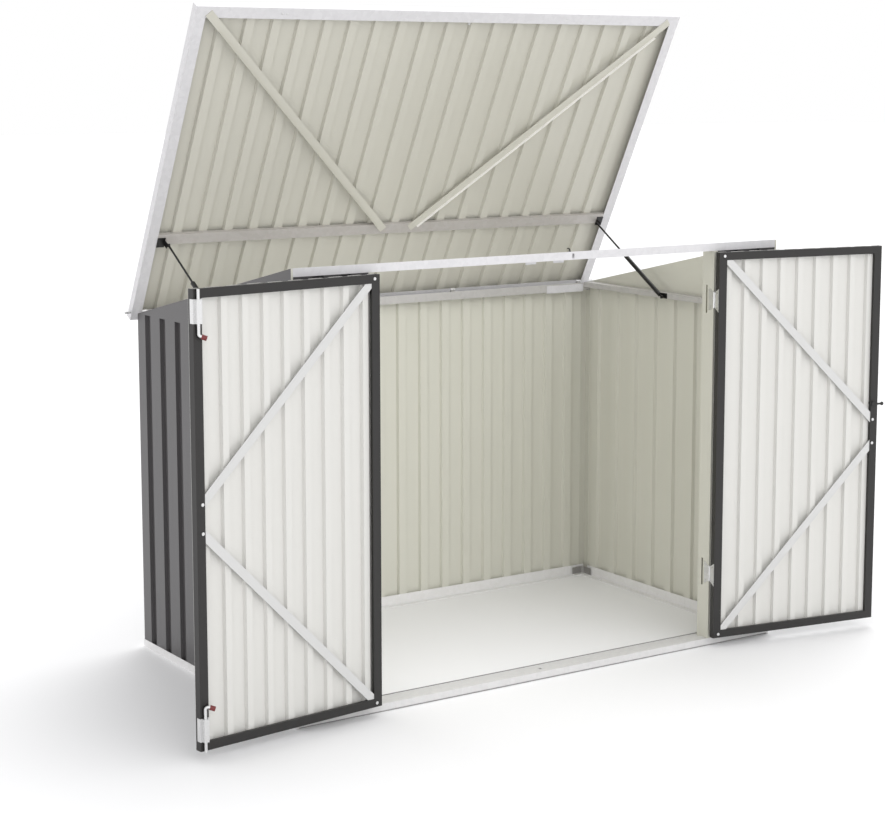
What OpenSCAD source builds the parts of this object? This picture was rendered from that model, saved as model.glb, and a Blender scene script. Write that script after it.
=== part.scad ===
/* [Body] */
// Width of the body across the side walls
body_w = 1930; // [1600:10:2400]
// Depth of the body from the front face to the back face
body_d = 1088; // [950:2:1300]
// Height of the top bar's upper front edge
front_h = 1413.5; // [1300:0.5:1600]
// Height of the lid line at the back face
back_h = 1173.5; // [1100:0.5:1250]
// Thickness of the folded frame sections
frame_t = 1.5; // [1.2:0.1:2]
// Thickness of the ribbed sheets
sheet_t = 0.8; // [0.6:0.1:1.2]
// Depth of the grooves in the ribbed sheets
rib_depth = 12; // [8:1:14]
// Number of grooves in the back wall and in the lid
back_grooves = 19; // [15:2:21]
// Number of grooves in a side wall
side_grooves = 9; // [7:2:9]
// Distance from the body's front and back to the side walls' outer grooves
side_edge = 84; // [70:1:100]
// Distance by which the side walls' middle groove sits behind the middle
side_groove_shift = 4; // [0:1:8]
// Width of a groove's floor in the back wall, the lid and the front panels
groove_floor = 30; // [24:1:34]
// Width of a groove's floor in the side walls
side_groove_floor = 34; // [28:1:38]
// Width that each groove side leans over
groove_run = 4; // [2:0.5:6]

/* [Base] */
// Width of the base rails' foot
foot_w = 44; // [40:1:50]
// Height of the base rails' outer lip and of the threshold
lip_h = 26; // [20:1:32]
// Height of the base rails' inner upright
upright_h = 37; // [30:1:45]
// Depth of the threshold
threshold_d = 80; // [70:1:90]
// Depth of the threshold's raised front part
threshold_step_d = 40; // [30:1:50]
// Height by which the threshold's rear part is lower
threshold_step = 3; // [2:0.5:4]
// Radius of the anchor holes
anchor_r = 5; // [3:0.5:6]
// Distance between the front and rear anchor holes
anchor_gap_y = 800; // [600:10:900]
// Length of a base corner plate's legs
corner_plate_leg = 60; // [50:1:80]
// Thickness of a base corner plate
corner_plate_t = 2; // [1.5:0.5:3]
// Leg length of the vertical corner angles
corner_leg = 25; // [20:1:30]
// Thickness of the vertical corner angles
corner_t = 1.2; // [1:0.1:1.5]

/* [Upper frame] */
// Height of the side top rails' upper face over the lid line at the back
side_rail_up = 5.5; // [4:0.5:7]
// Height of the side top rails' flanges
side_rail_h = 20; // [15:1:25]
// Height of the back top rail's upper inner edge over the lid line at the back
back_rail_up = 3.5; // [2:0.5:4]
// Height of the back top rail's inner flange
back_rail_h = 30; // [20:1:40]
// Height of the front top bar's face
bar_h = 26.5; // [24:0.5:40]
// Depth of the front top bar
bar_d = 25; // [22:0.5:26]
// Distance from the body's side to the end of the top bar
bar_end = 7; // [5:1:12]
// Overlap of the corner angles with the rails above them
corner_lap = 8; // [4:1:12]
// Height by which the gable plates overlap the side walls
gable_lap = 3.5; // [2:0.5:6]
// Distance from the body's back face to the gable plates' rear ends
gable_tip_in = 10; // [8:1:20]
// Drop of the gable's edge under the lid line
gable_drop = 0.6; // [0.4:0.1:1.5]
// Depth of the post's face beside the door
post_d = 58; // [50:1:65]
// Width of the post's front lip
post_lip = 15; // [10:1:20]
// Width of the post's rear flange
post_flange = 40; // [30:1:50]
// Width of the slots behind the hinges
post_slot_w = 8; // [5:1:10]
// Height of the slots behind the hinges
post_slot_h = 96; // [80:1:110]
// Distance from the body's front to the middle of the slots
post_slot_y = 36; // [34:1:45]

/* [Doors] */
// Width of the door opening
opening_w = 1363; // [1200:1:1500]
// Gap between the closed doors' free edges
door_middle_gap = 16; // [12:0.5:24]
// Height of the doors' lower edge
door_z = 34; // [30:1:40]
// Thickness of a door
door_t = 25; // [22:0.5:28]
// Gap between a closed door and the top bar
door_top_gap = 3; // [2.5:0.5:5]
// Gap between a door's hinge edge and the post
hinge_gap = 3.5; // [3.4:0.1:4]
// Distance from the body's front face to a closed door's face
door_set_back = 0.6; // [0:0.1:1]
// Visible width of the hinge stiles
hinge_stile_w = 30; // [25:1:35]
// Visible width of the free stiles
free_stile_w = 29; // [28:1:38]
// Visible height of the doors' top and bottom rails
door_rail_h = 27; // [22:1:32]
// Depth of the frame's turned-in edge
turned_edge = 8; // [5:0.5:9]
// Number of grooves in a door
door_grooves = 9; // [7:2:9]
// Distance from a door's edges to its outer grooves
door_groove_edge = 43; // [38:1:60]
// Distance by which the doors' middle groove sits nearer to the free edge
door_groove_shift = 3; // [0:0.5:5]
// Width of a groove's floor in the doors
door_groove_floor = 20; // [15:1:26]
// Width of the door braces
door_brace_w = 27; // [20:1:32]
// Thickness of the door braces
door_brace_t = 2.5; // [2:0.5:3]
// Gap around a brace where it passes the frame's turned-in edge
brace_slot_gap = 0.3; // [0.2:0.1:1]
// Distance from the hinge edge to the braces' outer rivets
brace_hinge_in = 20; // [15:1:24]
// Distance from the free edge to the braces' inner rivets
brace_free_in = 20; // [15:1:24]
// Distance of the outer rivets from the door's upper and lower edges
brace_end_in = 13; // [12:0.5:18]
// Height of the upper brace's inner rivet
brace_high_z = 763; // [740:1:800]
// Height of the lower brace's inner rivet
brace_low_z = 678; // [640:1:700]
// Radius of the rivet heads
rivet_r = 5; // [3:0.5:6]
// Height of the rivet heads
rivet_h = 2; // [1:0.5:3]
// Angle to which the left door stands open
left_open = 173.1; // [0:0.1:178]
// Angle to which the right door stands open
right_open = 170.9; // [0:0.1:178]

/* [Door hinges] */
// Distance from the body's front face to the hinge pins
pin_out = 4.5; // [4:0.1:6]
// Radius of the hinge pins
pin_r = 2.5; // [2:0.1:3]
// Radius of the hinge barrels
barrel_r = 4; // [3.5:0.1:4.5]
// Radial clearance of pins and rods in their bores
bore_gap = 0.05; // [0.02:0.01:0.1]
// Distance of the upper hinges' middle under the doors' upper edge
hinge_high_in = 165; // [100:1:240]
// Distance of the lower hinges' middle over the doors' lower edge
hinge_low_in = 226; // [100:1:260]
// Height of a leaf at the barrel
leaf_in_h = 52; // [45:1:60]
// Height of a leaf at its outer end
leaf_out_h = 80; // [60:1:90]
// Distance that the leaves reach behind the pin
leaf_reach = 28; // [24:1:29]
// Thickness of the leaves
leaf_t = 1.5; // [1.2:0.1:1.6]
// Distance between the leaf edges and the barrel's axis
leaf_clear = 4.6; // [4.4:0.1:5]
// Gap between hinge knuckles
knuckle_gap = 0.5; // [0.3:0.1:1]

/* [Door stops] */
// Distance from the body's middle to the middle of the left stop
stop_left_x = 71; // [50:1:200]
// Distance from the body's middle to the middle of the right stop
stop_right_x = 40; // [30:1:200]
// Width of a stop
stop_w = 42; // [20:1:60]
// Distance that a stop hangs under the top bar
stop_drop = 10; // [6:1:15]
// Height of a stop's flange on the top bar
stop_flange = 14; // [10:1:20]
// Gap between a closed door and its stop
stop_gap = 0.4; // [0.3:0.1:2]

/* [Shoot bolts] */
// Radius of the bolt rods
bolt_r = 4.75; // [4:0.25:6]
// Distance from the free edge to the bolt rods
bolt_in = 13; // [10:1:16]
// Distance from the door's inner face to the middle of the rods
bolt_off = 7; // [6.5:0.5:8]
// Height of the guide brackets
guide_h = 70; // [50:1:80]
// Width of the guide block
guide_block_w = 16; // [13:1:18]
// Depth of the bracket's flange on the door's edge
guide_edge = 15; // [10:1:20]
// Width of the bracket's plate on the door's inner face
guide_plate_w = 30; // [22:1:32]
// Distance of the guide brackets from the door's upper and lower edges
guide_in = 29; // [20:1:40]
// Distance of the upper bolt's bend from the door's upper edge
bolt_high_in = 127; // [127:1:200]
// Distance of the lower bolt's bend from the door's lower edge
bolt_low_in = 126; // [126:1:200]
// Radius of the bends along the rod's axis
bend_r = 8; // [6:0.5:12]
// Downward lean of the bent ends
bolt_lean = 20; // [0:5:30]
// Angle by which the bent ends stand away from the door
bolt_turn = 30; // [25:5:60]
// Length of the straight arms after the bends
bolt_arm = 16.5; // [14:0.5:20]
// Radius of the caps
cap_r = 7.5; // [6:0.5:9]
// Length of the caps
cap_l = 16; // [12:1:16]
// Thickness of the caps' closed ends
cap_end = 2; // [1.5:0.5:3]
// Radial gap around the lower bolt in the threshold
strike_gap = 1.5; // [1:0.5:3]

/* [Latch] */
// Height of the latch
latch_z = 819; // [790:1:1000]
// Distance from the free edge to the latch spindle
latch_in = 20; // [16:1:24]
// Radius of the spindle
spindle_r = 4.5; // [3:0.5:6]
// Radius of the rosette
rosette_r = 12; // [9:1:12]
// Thickness of the rosette
rosette_t = 3; // [2:0.5:4]
// Distance that the cam reaches past the free edge
cam_past = 22; // [18:1:24]
// Height of the cam's neck
cam_neck_h = 7; // [5:1:10]
// Radius of the cam's round end
cam_end_r = 6.5; // [5:0.5:8]
// Thickness of the cam
cam_t = 3; // [2:0.5:4]
// Length of the outside handle
handle_l = 95; // [60:1:120]
// Width of the outside handle
handle_w = 16; // [12:1:20]
// Thickness of the outside handle
handle_t = 9; // [6:1:12]
// Gap between the handle and the door's face
handle_gap = 18; // [10:1:30]

/* [Lid] */
// Distance by which the lid reaches past the body at each side
lid_side_over = 16.3; // [10:0.1:25]
// Distance by which the closed lid reaches past the top bar
lid_front_over = 24.9; // [15:0.1:40]
// Distance from the hinge axis to the lid's rear edge
lid_rear_l = 28.5; // [25:0.5:35]
// Height of the lid's frame
lid_h = 28; // [24:1:36]
// Width of the side rails' lower flange
lid_side_flange = 38; // [32:1:44]
// Width of the front and rear rails' lower flange
lid_end_flange = 39; // [32:1:44]
// Width of the rails' upper flange
lid_top_flange = 14; // [10:1:20]
// Distance from the hinge axis to the cross rail's rear edge
cross_rear = 273; // [240:1:280]
// Width of the cross rail
cross_w = 39; // [30:1:45]
// Width of the lid braces
lid_brace_w = 28; // [22:1:34]
// Thickness of the lid braces
lid_brace_t = 2.5; // [2:0.1:2.6]
// Distance of the braces' outer ends from the lid's sides
brace_side_in = 46.3; // [42:0.1:60]
// Distance of the braces' outer ends from the lid's front edge
brace_front_in = 22; // [18:1:30]
// Distance of the braces' inner ends from the lid's middle
brace_x_in = 55; // [45:1:70]
// Angle of the open lid above the horizontal
lid_open = 62.1; // [20:0.1:70]

/* [Lid hinge] */
// Distance of the hinge axis behind the body's back face
rod_back = 14.9; // [14:0.1:17]
// Height of the hinge axis over the lid line at the back
rod_up = 3.7; // [0:0.1:8]
// Height of the hinge axis over the lid's underside
rod_over = 6.8; // [6.8:0.1:7]
// Radius of the hinge rod
rod_r = 5; // [4:0.5:5]
// Distance by which the hinge rod reaches past the lid's sides
rod_past = 22.7; // [5:0.1:30]
// Outer radius of the rod holders
holder_r = 9; // [8:0.5:10]
// Width of the rod holders
holder_w = 20; // [16:1:22]
// Thickness of the holders' plates
holder_t = 3; // [2.5:0.5:4]
// Height of the holders' plates
holder_plate_h = 48; // [40:1:55]
// Clearance between a rod holder and the lid
holder_gap = 1.7; // [1.5:0.1:2.5]
// Distance of the holders' plates under the line of the closed lid
holder_under_lid = 4; // [3:0.5:6]

/* [Gas struts] */
// Distance from the side top rails' inner face to the struts
strut_in = 12; // [11:1:16]
// Distance of the lower strut pivots behind the middle
strut_y = 8; // [0:1:20]
// Distance of the lower strut pivots under the side top rails' upper face
strut_under = 14; // [9:1:19]
// Distance along the lid from the hinge axis to the upper pivots
strut_along = 282; // [280:1:285]
// Distance of the upper pivots under the lid's hinge axis line
strut_drop = 26.8; // [26:0.1:28]
// Length from the lower pivot to the cylinder's mouth
cylinder_l = 256; // [240:1:258]
// Radius of the cylinder
cylinder_r = 8; // [7:0.5:9]
// Radius of the strut's rod
strut_rod_r = 3.5; // [3:0.5:4]
// Radius of the strut's eyes
eye_r = 6; // [5:0.5:7]
// Width of the strut's eyes
eye_w = 8; // [6:1:8]
// Radius of the lower studs
stud_r = 3; // [2.5:0.5:4]
// Gap between a strut's eye and the plate beside it
strut_side_gap = 2; // [1:0.5:3]

/* [Lid lock] */
// Distance of the lock slot from the middle plane
lock_x = 80; // [60:1:100]
// Distance of the lock slot's middle under the top bar's upper front edge
lock_drop = 14.5; // [11:0.5:18]
// Width of the lock slot
lock_slot_w = 10; // [8:1:12]
// Height of the lock slot
lock_slot_h = 17; // [14:1:19]
// Radius of the hook's hub
hook_hub_r = 8; // [6:0.5:9]
// Outer radius of the hook's head
hook_head_r = 8; // [6:0.5:8]
// Inner radius of the hook's head
hook_mouth_r = 4.5; // [3.5:0.5:5]
// Distance by which the head stands beside the pivot
hook_side = 9; // [6:0.5:12]
// Distance by which the head stands over the pivot
hook_rise = 16.5; // [14:0.5:16.5]
// Thickness of the hook
hook_t = 2; // [1.5:0.5:2.5]
// Distance between the top bar and the hook
hook_set_back = 0.8; // [0.6:0.1:1.5]
// Play of the hook on its stud along the stud's axis
hook_play = 0.3; // [0.1:0.1:0.5]

/* [Hidden] */
$fn = 48;

anthracite = "#5f5d5e";
door_dark = "#3b3938";
inner_light = "#c3c1b6";
frame_light = "#dedde0";
rail_light = "#b8b5b3";
door_light = "#e0e0db";
steel = "#d8d8d8";
black = "#161514";
cap_red = "#7a0d10";

half_w = body_w / 2;
half_d = body_d / 2;
front_y = -half_d;
skin_x = half_w - frame_t;
skin_y = half_d - frame_t;
rib_in = rib_depth + sheet_t;
upright_x = skin_x - rib_in;
upright_y = skin_y - rib_in;
foot_x = half_w - foot_w;
foot_y = half_d - foot_w;
threshold_back = front_y + threshold_d;
back_pitch = body_w / (back_grooves + 1);
side_pitch = (body_d - 2 * side_edge) / (side_grooves - 1);
side_rail_z = back_h + side_rail_up;
back_rail_z = back_h + back_rail_up;
side_sheet_top = side_rail_z - frame_t;
gable_z = side_sheet_top - gable_lap;
roof_slope = atan2(front_h - back_h, body_d);
post_x = opening_w / 2;
pane_x = post_x + frame_t;
pane_end_x = skin_x - sheet_t;
bar_z = front_h - bar_h;
bar_half = half_w - bar_end;
bar_back = front_y + bar_d;
door_top = bar_z - door_top_gap;
door_h = door_top - door_z;
door_w = (opening_w - door_middle_gap) / 2 - hinge_gap;
door_pitch = (door_w - 2 * door_groove_edge) / (door_grooves - 1);
hinge_high_z = door_top - hinge_high_in;
hinge_low_z = door_z + hinge_low_in;
guide_high_z = door_top - guide_in - guide_h;
guide_low_z = door_z + guide_in;
bolt_high_z = door_top - bolt_high_in;
bolt_low_z = door_z + bolt_low_in;
door_edge_x = post_x - hinge_gap;
door_face_y = front_y + door_set_back;
door_back_y = door_face_y + door_t;
pin_x = post_x - hinge_gap / 2;
pin_y = front_y - pin_out;
free_x = door_edge_x - door_w;
rod_y = half_d + rod_back;
rod_z = back_h + rod_up;
lid_half_w = half_w + lid_side_over;
lid_front_l = (rod_y - front_y) / cos(roof_slope) + lid_front_over;
strut_x = foot_x - strut_in;
strut_z = side_rail_z - strut_under;
lock_z = front_h - lock_drop;
hook_x = lock_x + hook_hub_r;

// Middles of evenly spaced grooves, the middle one at the given place
function groove_centres(count, pitch, middle) =
    [for (i = [0:count - 1]) middle + (i - (count - 1) / 2) * pitch];

// Height of the lid line over a point y of the body
function roof_z(y) = back_h + (half_d - y) * tan(roof_slope);

// Outline of a ribbed sheet: u runs along the sheet, v is 0 on its outer face and negative inwards
function sheet_outline(u0, u1, centres, floor_w) = let(
    shift = sheet_t * tan(atan2(rib_depth, groove_run) / 2),
    half = floor_w / 2,
    count = len(centres)) concat(
    [[u0, 0]],
    [for (c = centres) each [[c - half - groove_run, 0], [c - half, -rib_depth],
        [c + half, -rib_depth], [c + half + groove_run, 0]]],
    [[u1, 0], [u1, -sheet_t]],
    [for (i = [count - 1:-1:0]) each let(c = centres[i]) [[c + half + groove_run + shift, -sheet_t],
        [c + half + shift, -rib_in], [c - half - shift, -rib_in], [c - half - groove_run - shift, -sheet_t]]],
    [[u0, -sheet_t]]);

// Box between two corner points
module block(low, high) {
    translate(low)
        cube(high - low);
}

// Both sides of the body from the right one
module on_side(side) {
    if (side < 0)
        mirror([1, 0, 0])
            children();
    else
        children();
}

module upright_sheet(u0, u1, centres, floor_w, z0, z1) {
    translate([0, 0, z0])
        linear_extrude(z1 - z0)
            polygon(sheet_outline(u0, u1, centres, floor_w));
}

// Base

module base_threshold_front() {
    inner_x = half_w - frame_t;
    color(rail_light)
        difference() {
            block([-half_w, front_y, 0], [half_w, threshold_back, lip_h]);
            block([-half_w - 1, front_y + threshold_step_d, lip_h - threshold_step],
                [half_w + 1, threshold_back + 1, lip_h + 1]);
            block([-inner_x, front_y + frame_t, -1],
                [inner_x, front_y + threshold_step_d - frame_t, lip_h - frame_t]);
            block([-inner_x, front_y + threshold_step_d - 2 * frame_t, -1],
                [inner_x, threshold_back - frame_t, lip_h - threshold_step - frame_t]);
            translate([-free_x - bolt_in, door_back_y + bolt_off, -1])
                cylinder(h = lip_h + 2, r = bolt_r + strike_gap);
        }
}

module base_rail_side(side) {
    color(rail_light)
        on_side(side)
            difference() {
                union() {
                    block([foot_x, threshold_back, 0], [half_w, foot_y, frame_t]);
                    block([skin_x, threshold_back, 0], [half_w, half_d, lip_h]);
                    block([upright_x - frame_t, threshold_back, 0], [upright_x, foot_y, upright_h]);
                }
                for (y = [-1, 1] * anchor_gap_y / 2)
                    translate([(foot_x + upright_x - frame_t) / 2, y, -1])
                        cylinder(h = frame_t + 2, r = anchor_r);
            }
}

module base_rail_left() {
    base_rail_side(-1);
}

module base_rail_right() {
    base_rail_side(1);
}

module base_rail_back() {
    color(rail_light) {
        block([-skin_x, foot_y, 0], [skin_x, half_d, frame_t]);
        block([-skin_x, skin_y, 0], [skin_x, half_d, lip_h]);
        block([-upright_x, upright_y - frame_t, 0], [upright_x, upright_y, upright_h]);
    }
}

module base_corner_plates() {
    inner_x = upright_x - frame_t;
    inner_y = upright_y - frame_t;
    plate_top = frame_t + corner_plate_t;
    color(steel)
        for (side = [-1, 1])
            on_side(side) {
                block([inner_x - corner_plate_leg, foot_y, frame_t], [inner_x, inner_y, plate_top]);
                block([foot_x, inner_y - corner_plate_leg, frame_t], [inner_x, inner_y, plate_top]);
            }
}

// Walls

module wall_side(side) {
    centres = groove_centres(side_grooves, side_pitch, -side_groove_shift);
    color(anthracite)
        on_side(side)
            difference() {
                translate([skin_x, 0, 0])
                    rotate([0, 0, -90])
                        upright_sheet(-skin_y, skin_y, centres, side_groove_floor, frame_t, side_sheet_top);
                over_lid_line();
                block([upright_x - 1, front_y, 0], [half_w, front_y + threshold_step_d, lip_h]);
                block([upright_x - 1, front_y, 0], [half_w, threshold_back, lip_h - threshold_step]);
            }
}

// Wedge over the lid line at a side wall's rear upper corner
module over_lid_line() {
    translate([foot_x, 0, 0])
        rotate([90, 0, 90])
            linear_extrude(half_w - foot_x)
                polygon([[foot_y, roof_z(foot_y) - gable_drop], [half_d, roof_z(half_d) - gable_drop],
                    [half_d, roof_z(foot_y)]]);
}

module wall_left() {
    wall_side(-1);
}

module wall_right() {
    wall_side(1);
}

module wall_back() {
    edge_x = skin_x - sheet_t;
    under_web = 1;
    top_z = back_rail_z - (skin_y - foot_y) * tan(roof_slope) - frame_t - under_web;
    color(anthracite)
        translate([0, skin_y, 0])
            upright_sheet(-edge_x, edge_x, groove_centres(back_grooves, back_pitch, 0), groove_floor, frame_t,
                top_z);
}

module gable(side) {
    tip_y = half_d - gable_tip_in;
    drop_front = front_h - gable_drop;
    color(anthracite)
        on_side(side) {
            translate([skin_x, 0, 0])
                rotate([90, 0, 90])
                    linear_extrude(frame_t)
                        polygon([[front_y, gable_z], [tip_y, gable_z], [tip_y, roof_z(tip_y) - gable_drop],
                            [front_y, drop_front]]);
            block([bar_half, front_y, gable_z], [skin_x, front_y + frame_t, drop_front - frame_t]);
        }
}

module gable_left() {
    gable(-1);
}

module gable_right() {
    gable(1);
}

module front_panel(side) {
    middle = (pane_x + pane_end_x) / 2;
    color(anthracite)
        on_side(side)
            translate([0, -skin_y, 0])
                mirror([0, 1, 0])
                    upright_sheet(pane_x, pane_end_x, [middle - back_pitch / 2, middle + back_pitch / 2],
                        groove_floor, lip_h, bar_z + bar_h / 2);
}

module front_panel_left() {
    front_panel(-1);
}

module front_panel_right() {
    front_panel(1);
}

module corner_angle(y_in, z0, z1) {
    in_x = skin_x - sheet_t;
    way = sign(y_in);
    low_y = min(y_in, y_in - way * corner_leg);
    leg_y = min(y_in, y_in - way * corner_t);
    color(inner_light) {
        block([in_x - corner_t, low_y, z0], [in_x, low_y + corner_leg, z1]);
        block([in_x - corner_leg, leg_y, z0], [in_x, leg_y + corner_t, z1]);
    }
}

module corner_angles() {
    back_in = skin_y - sheet_t;
    for (side = [-1, 1])
        on_side(side) {
            corner_angle(back_in, frame_t, back_rail_z - back_rail_h + corner_lap);
            corner_angle(-back_in, lip_h, bar_z + corner_lap);
        }
}

// Upper frame

module top_rail_side(side) {
    rail_front = front_y + foot_w;
    rail_low = side_rail_z - side_rail_h;
    color(rail_light)
        on_side(side) {
            block([foot_x, rail_front, side_sheet_top], [skin_x, foot_y, side_rail_z]);
            block([foot_x, rail_front, rail_low], [foot_x + frame_t, foot_y, side_rail_z]);
            block([upright_x - frame_t, rail_front, rail_low], [upright_x, foot_y, side_rail_z]);
        }
}

module top_rail_left() {
    top_rail_side(-1);
}

module top_rail_right() {
    top_rail_side(1);
}

// Section of the back top rail: its web slopes with the lid
module top_rail_back() {
    low_z = back_rail_z - back_rail_h;
    fall = tan(roof_slope);
    function web_z(y) = back_rail_z - (y - foot_y) * fall;
    color(rail_light)
        translate([-upright_x, 0, 0])
            rotate([90, 0, 90])
                linear_extrude(2 * upright_x)
                    polygon([[foot_y, low_z], [foot_y + frame_t, low_z],
                        [foot_y + frame_t, web_z(foot_y + frame_t) - frame_t],
                        [upright_y - frame_t, web_z(upright_y - frame_t) - frame_t],
                        [upright_y - frame_t, low_z], [upright_y, low_z],
                        [upright_y, web_z(upright_y) - frame_t], [skin_y, web_z(skin_y) - frame_t],
                        [skin_y, low_z], [half_d, low_z], [half_d, web_z(half_d)], [foot_y, back_rail_z]]);
}

module top_bar_front() {
    back_top = front_h - bar_d * tan(roof_slope);
    color(frame_light)
        difference() {
            translate([-bar_half, 0, 0])
                rotate([90, 0, 90])
                    linear_extrude(2 * bar_half)
                        polygon([[front_y, bar_z], [front_y + frame_t, bar_z],
                            [front_y + frame_t, front_h - 2 * frame_t],
                            [bar_back - frame_t, back_top - frame_t], [bar_back - frame_t, bar_z],
                            [bar_back, bar_z], [bar_back, back_top], [front_y, front_h]]);
            translate([lock_x, front_y - 1, lock_z])
                rotate([-90, 0, 0])
                    linear_extrude(frame_t + 2)
                        lock_slot();
        }
}

// Slot with round ends, upright
module lock_slot() {
    end_y = (lock_slot_h - lock_slot_w) / 2;
    for (way = [-1, 1])
        translate([0, way * end_y])
            circle(d = lock_slot_w);
    square([lock_slot_w, 2 * end_y], center = true);
}

module front_post(side) {
    back_y = front_y + post_d;
    rear_z = lip_h - threshold_step;
    color(inner_light)
        on_side(side)
            difference() {
                union() {
                    block([post_x, front_y, lip_h], [pane_x, back_y, bar_z]);
                    block([post_x, front_y, lip_h], [post_x + post_lip, front_y + frame_t, bar_z]);
                    block([post_x, front_y + threshold_step_d, rear_z], [pane_x, back_y, bar_z]);
                    block([post_x, back_y - frame_t, rear_z], [post_x + post_flange, back_y, bar_z]);
                }
                for (z = [hinge_low_z, hinge_high_z])
                    block([post_x - 1, front_y + post_slot_y - post_slot_w / 2, z - post_slot_h / 2],
                        [pane_x + 1, front_y + post_slot_y + post_slot_w / 2, z + post_slot_h / 2]);
            }
}

module front_post_left() {
    front_post(-1);
}

module front_post_right() {
    front_post(1);
}

// Plates that tie the posts to the top bar from behind
module post_head_plates() {
    plate_w = 34;
    plate_under = 26;
    low = bar_z - plate_under;
    color(steel)
        for (side = [-1, 1])
            on_side(side) {
                block([pane_x, bar_back, low], [pane_x + plate_w, bar_back + frame_t, bar_z + bar_h / 2]);
                block([pane_x, bar_back, low], [pane_x + frame_t, bar_back + plate_w / 2, bar_z]);
            }
}

// Stops that hang behind the top bar, one for each door
module door_stops() {
    stop_y = door_back_y + stop_gap;
    flange_gap = 2;
    half = stop_w / 2;
    color(frame_light)
        for (x = [-stop_left_x, stop_right_x]) {
            block([x - half, bar_back, bar_z + flange_gap],
                [x + half, stop_y + frame_t, bar_z + stop_flange]);
            block([x - half, stop_y, bar_z - stop_drop],
                [x + half, stop_y + frame_t, bar_z + stop_flange]);
        }
}

// Door hinges

// Outline of a butterfly leaf: y is the distance behind the pin, z the height
module leaf_plate() {
    color(steel)
        rotate([90, 0, 90])
            linear_extrude(leaf_t)
                polygon([[leaf_clear, -leaf_in_h / 2], [leaf_reach, -leaf_out_h / 2],
                    [leaf_reach, leaf_out_h / 2], [leaf_clear, leaf_in_h / 2]]);
}

// Knuckle with the tongue that ties it to its leaf
module knuckle(z0, z1, leaf_x) {
    difference() {
        union() {
            translate([0, 0, z0])
                cylinder(h = z1 - z0, r = barrel_r);
            block([leaf_x, 0, z0], [leaf_x + leaf_t, leaf_clear + 1, z1]);
        }
        translate([0, 0, z0 - 1])
            cylinder(h = z1 - z0 + 2, r = pin_r + bore_gap);
    }
}

module screw_holes(x) {
    for (z = [-1, 1] * leaf_in_h / 2)
        translate([x - 1, (leaf_clear + leaf_reach) / 2 + 2, z])
            rotate([0, 90, 0])
                cylinder(h = leaf_t + 2, r = 2.2);
}

module post_hinge_leaf() {
    third = leaf_in_h / 3;
    leaf_x = hinge_gap / 2 - leaf_t;
    color(steel)
        difference() {
            union() {
                translate([leaf_x, 0, 0])
                    leaf_plate();
                knuckle(-leaf_in_h / 2, -third / 2 - knuckle_gap / 2, leaf_x);
                knuckle(third / 2 + knuckle_gap / 2, leaf_in_h / 2, leaf_x);
            }
            screw_holes(leaf_x);
        }
}

module door_hinge_leaf() {
    third = leaf_in_h / 3;
    leaf_x = -hinge_gap / 2;
    color(steel)
        difference() {
            union() {
                translate([leaf_x, 0, 0])
                    leaf_plate();
                knuckle(-third / 2 + knuckle_gap / 2, third / 2 - knuckle_gap / 2, leaf_x);
            }
            screw_holes(leaf_x);
        }
}

module at_hinges() {
    for (z = [hinge_low_z, hinge_high_z])
        translate([pin_x, pin_y, z])
            children();
}

module post_hinge_leaves() {
    for (side = [-1, 1])
        on_side(side)
            at_hinges()
                post_hinge_leaf();
}

module door_hinge_pins() {
    head_h = 1.5;
    head_r = pin_r + 1;
    color(steel)
        for (side = [-1, 1])
            on_side(side)
                at_hinges() {
                    cylinder(h = leaf_in_h + 2 * head_h, r = pin_r, center = true);
                    for (z = [-leaf_in_h / 2 - head_h, leaf_in_h / 2])
                        translate([0, 0, z])
                            cylinder(h = head_h, r = head_r);
                }
}

// Doors, described closed and then swung open about their pins

module swing(side, angle) {
    on_side(side)
        translate([pin_x, pin_y, 0])
            rotate([0, 0, angle])
                translate([-pin_x, -pin_y, 0])
                    children();
}

module door_stile(x_edge, way, width) {
    inner = x_edge + way * width;
    flange_y = door_back_y - frame_t;
    skin_in_y = door_face_y + sheet_t;
    module span(a, b, y0, y1, z0, z1) {
        block([min(a, b), y0, z0], [max(a, b), y1, z1]);
    }
    span(x_edge, x_edge + way * frame_t, skin_in_y, door_back_y, door_z, door_top);
    span(x_edge, inner, flange_y, door_back_y, door_z, door_top);
    span(inner, inner - way * frame_t, flange_y - turned_edge, door_back_y, door_z + door_rail_h,
        door_top - door_rail_h);
    span(x_edge, inner, skin_in_y + rib_depth, door_back_y, door_z, door_z + frame_t);
    span(x_edge, inner, skin_in_y + rib_depth, door_back_y, door_top - frame_t, door_top);
}

// Hole of the latch spindle through the stile and the sheet
module spindle_hole() {
    translate([free_x + latch_in, door_face_y - 1, latch_z])
        rotate([-90, 0, 0])
            cylinder(h = door_t + 2, r = spindle_r + bore_gap);
}

module door_stiles(with_latch) {
    color(door_dark)
        difference() {
            union() {
                door_stile(door_edge_x, -1, hinge_stile_w);
                door_stile(free_x, 1, free_stile_w);
            }
            brace_slots();
            if (with_latch)
                spindle_hole();
        }
}

module door_rails() {
    x0 = free_x + free_stile_w;
    x1 = door_edge_x - hinge_stile_w;
    flange_y = door_back_y - frame_t;
    rib_y = door_face_y + sheet_t + rib_depth;
    color(door_dark)
        difference() {
            union() {
                block([x0, flange_y, door_z], [x1, door_back_y, door_z + door_rail_h]);
                block([x0, flange_y, door_top - door_rail_h], [x1, door_back_y, door_top]);
                block([x0, rib_y, door_z], [x1, door_back_y, door_z + frame_t]);
                block([x0, rib_y, door_top - frame_t], [x1, door_back_y, door_top]);
                block([x0, flange_y - turned_edge, door_z + door_rail_h - frame_t],
                    [x1, door_back_y, door_z + door_rail_h]);
                block([x0, flange_y - turned_edge, door_top - door_rail_h],
                    [x1, door_back_y, door_top - door_rail_h + frame_t]);
            }
            brace_slots();
        }
}

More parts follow.
